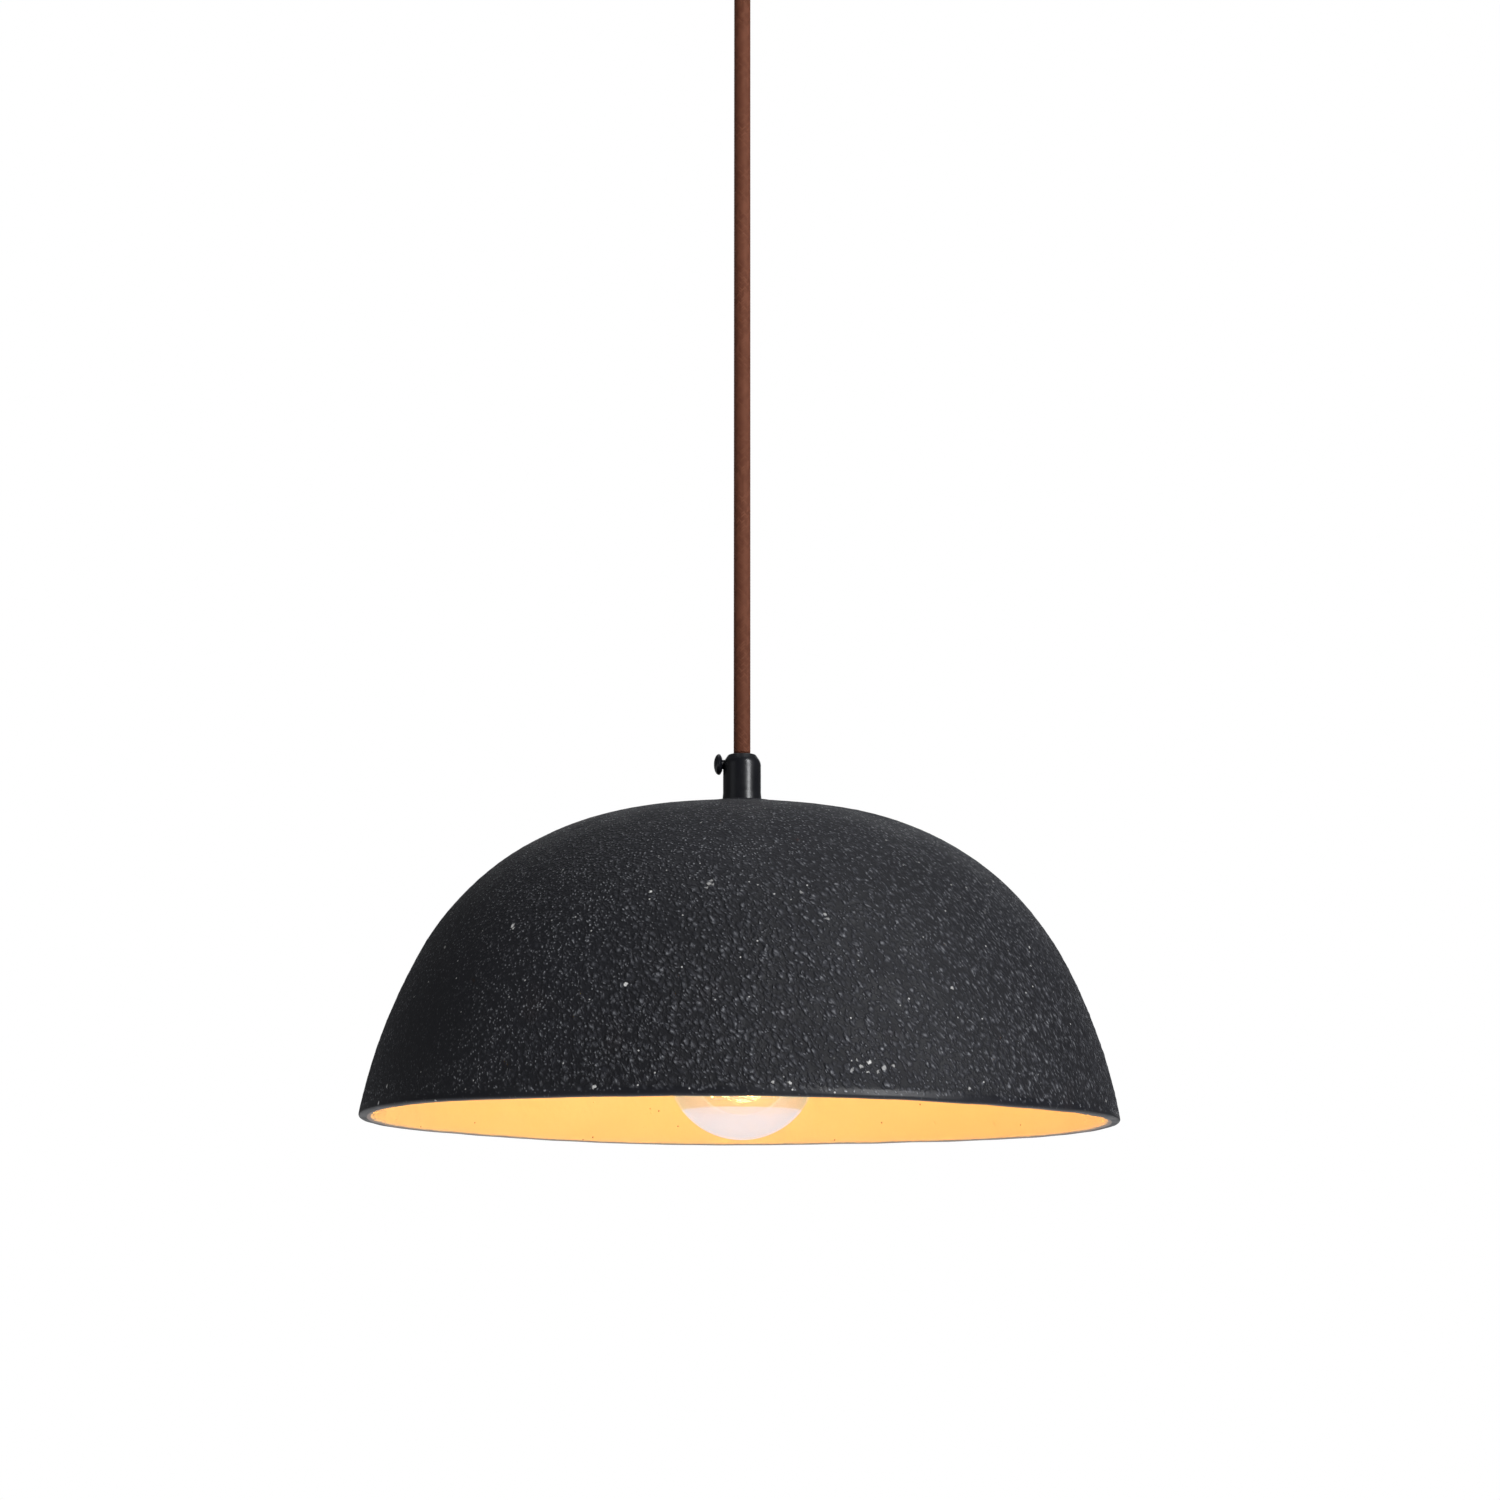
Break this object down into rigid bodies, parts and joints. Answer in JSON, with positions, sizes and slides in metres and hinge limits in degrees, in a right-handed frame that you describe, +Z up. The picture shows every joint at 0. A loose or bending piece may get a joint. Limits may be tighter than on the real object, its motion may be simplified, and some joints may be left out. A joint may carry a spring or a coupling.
{
  "type": "pendant ceiling light",
  "caption": "Grainy matt black dome shade with a warm cream inside, hung on a brown braided cord from a small round ceiling canopy, with a clear globe bulb.",
  "frame": {"origin": "middle of the ceiling bracket's top face, where it rests against the ceiling", "axes": "+Z up, +X to the right and +Y away from a viewer in front; the clamp screw of the lower cord grip points along -X"},
  "size_m": [0.2984, 0.2984, 0.5248],
  "materials": {
    "zinc_steel": "zinc-plated steel, dull",
    "satin_black_paint": "satin black lacquer on turned or pressed metal",
    "white_nylon": "matt white nylon",
    "brass": "plain brass, lightly dulled",
    "brown_braid": "fine brown textile braid",
    "core_brown": "brown core insulation",
    "core_blue": "blue core insulation",
    "core_green_yellow": "green core insulation with a yellow stripe",
    "shade_black": "matt black, grainy orange-peel outside; smooth warm cream inside; bare pinkish clay at the lip",
    "black_rubber": "matt black rubber",
    "holder_black": "moulded black phenolic",
    "porcelain": "white glazed porcelain",
    "bulb_glass": "clear glass with a pale mirrored cap over its lower end",
    "nickel_plate": "nickel-plated brass, satin",
    "black_glass": "opaque black glass",
    "filament_wire": "nickel wire",
    "filament_phosphor": "warm yellow phosphor over the lit filament"
  },
  "bodies": {
    "ceiling_fitting": {"ceiling_bracket": "zinc_steel", "canopy": "satin_black_paint", "canopy_gland": "satin_black_paint", "gland_washer": "zinc_steel", "gland_nut": "zinc_steel", "terminal_block": "white_nylon", "terminal_block_screw": "zinc_steel", "terminal_sleeve_live": "brass", "terminal_sleeve_neutral": "brass", "terminal_screw_live_cord": "zinc_steel", "terminal_screw_live_mains": "zinc_steel", "terminal_screw_neutral_cord": "zinc_steel", "terminal_screw_neutral_mains": "zinc_steel", "earth_lug_top": "brass", "earth_screw_top": "zinc_steel", "core_live_top": "core_brown", "core_neutral_top": "core_blue", "core_earth_top": "core_green_yellow", "cord_entry": "brown_braid"},
    "gland_screw": {"gland_screw": "zinc_steel"},
    "canopy_screw_left": {"canopy_screw_left": "zinc_steel"},
    "canopy_screw_right": {"canopy_screw_right": "zinc_steel"},
    "cord_bend": {"cord_bend": "brown_braid"},
    "cord_run": {"cord_run": "brown_braid"},
    "lamp": {"cord_tail": "brown_braid", "cord_grip": "satin_black_paint", "threaded_nipple": "zinc_steel", "shade": "shade_black", "shade_gasket": "black_rubber", "shade_washer": "zinc_steel", "shade_nut": "zinc_steel", "holder_cap": "satin_black_paint", "holder_skirt": "holder_black", "holder_disc": "porcelain", "holder_screw_shell": "brass", "centre_contact": "brass", "holder_terminal_live": "brass", "holder_terminal_neutral": "brass", "holder_screw_live": "zinc_steel", "holder_screw_neutral": "zinc_steel", "core_live_low": "core_brown", "core_neutral_low": "core_blue", "core_earth_low": "core_green_yellow", "earth_lug_low": "brass", "earth_screw_low": "zinc_steel"},
    "clamp_pad": {"clamp_pad": "white_nylon"},
    "clamp_screw": {"clamp_screw": "satin_black_paint"},
    "bulb_tip": {"bulb_insulator": "black_glass", "bulb_contact": "brass"},
    "bulb": {"bulb_cap": "nickel_plate", "bulb_glass": "bulb_glass", "bulb_stem": "bulb_glass", "filament_frame_top": "filament_wire", "filament_frame_low": "filament_wire", "filament_1": "filament_phosphor", "filament_2": "filament_phosphor", "filament_3": "filament_phosphor", "filament_4": "filament_phosphor"}
  },
  "joints": [
    {"name": "swing_x", "type": "hinge", "parent": "ceiling_fitting", "child": "cord_bend", "pos_m": [0, 0, -0.054], "axis": [1, 0, 0], "range_deg": [-25, 25]},
    {"name": "swing_y", "type": "hinge", "parent": "cord_bend", "child": "cord_run", "pos_m": [0, 0, -0.08], "axis": [0, 1, 0], "range_deg": [-25, 25]},
    {"name": "lamp_twist", "type": "hinge", "parent": "cord_run", "child": "lamp", "pos_m": [0, 0, -0.3705], "axis": [0, 0, 1], "range_deg": [-90, 90], "stiffness_Nm_per_rad": 0.004},
    {"name": "bulb_slide", "type": "slide", "parent": "lamp", "child": "bulb_tip", "axis": [0, 0, -1], "range_m": [0, 0.01815]},
    {"name": "bulb_turn", "type": "hinge", "parent": "bulb_tip", "child": "bulb", "pos_m": [0, 0, -0.4948], "axis": [0, 0, -1], "range_deg": [0, 1800]},
    {"name": "clamp_pad_slide", "type": "slide", "parent": "lamp", "child": "clamp_pad", "axis": [-1, 0, 0], "range_m": [0, 0.00141]},
    {"name": "clamp_screw_turn", "type": "hinge", "parent": "clamp_pad", "child": "clamp_screw", "pos_m": [-0.0079, 0, -0.375], "axis": [-1, 0, 0], "range_deg": [0, 720]},
    {"name": "gland_screw_turn", "type": "hinge", "parent": "ceiling_fitting", "child": "gland_screw", "pos_m": [-0.0074, 0, -0.036], "axis": [-1, 0, 0], "range_deg": [0, 720]},
    {"name": "canopy_screw_left_turn", "type": "hinge", "parent": "ceiling_fitting", "child": "canopy_screw_left", "pos_m": [-0.0503, 0, -0.0075], "axis": [-1, 0, 0], "range_deg": [0, 720]},
    {"name": "canopy_screw_right_turn", "type": "hinge", "parent": "ceiling_fitting", "child": "canopy_screw_right", "pos_m": [0.0503, 0, -0.0075], "axis": [1, 0, 0], "range_deg": [0, 720]}
  ],
  "couplings": [
    {"joint": "bulb_slide", "follows": "bulb_turn", "m_per_rad": 0.0005775},
    {"joint": "clamp_pad_slide", "follows": "clamp_screw_turn", "m_per_rad": 0.00011141}
  ]
}
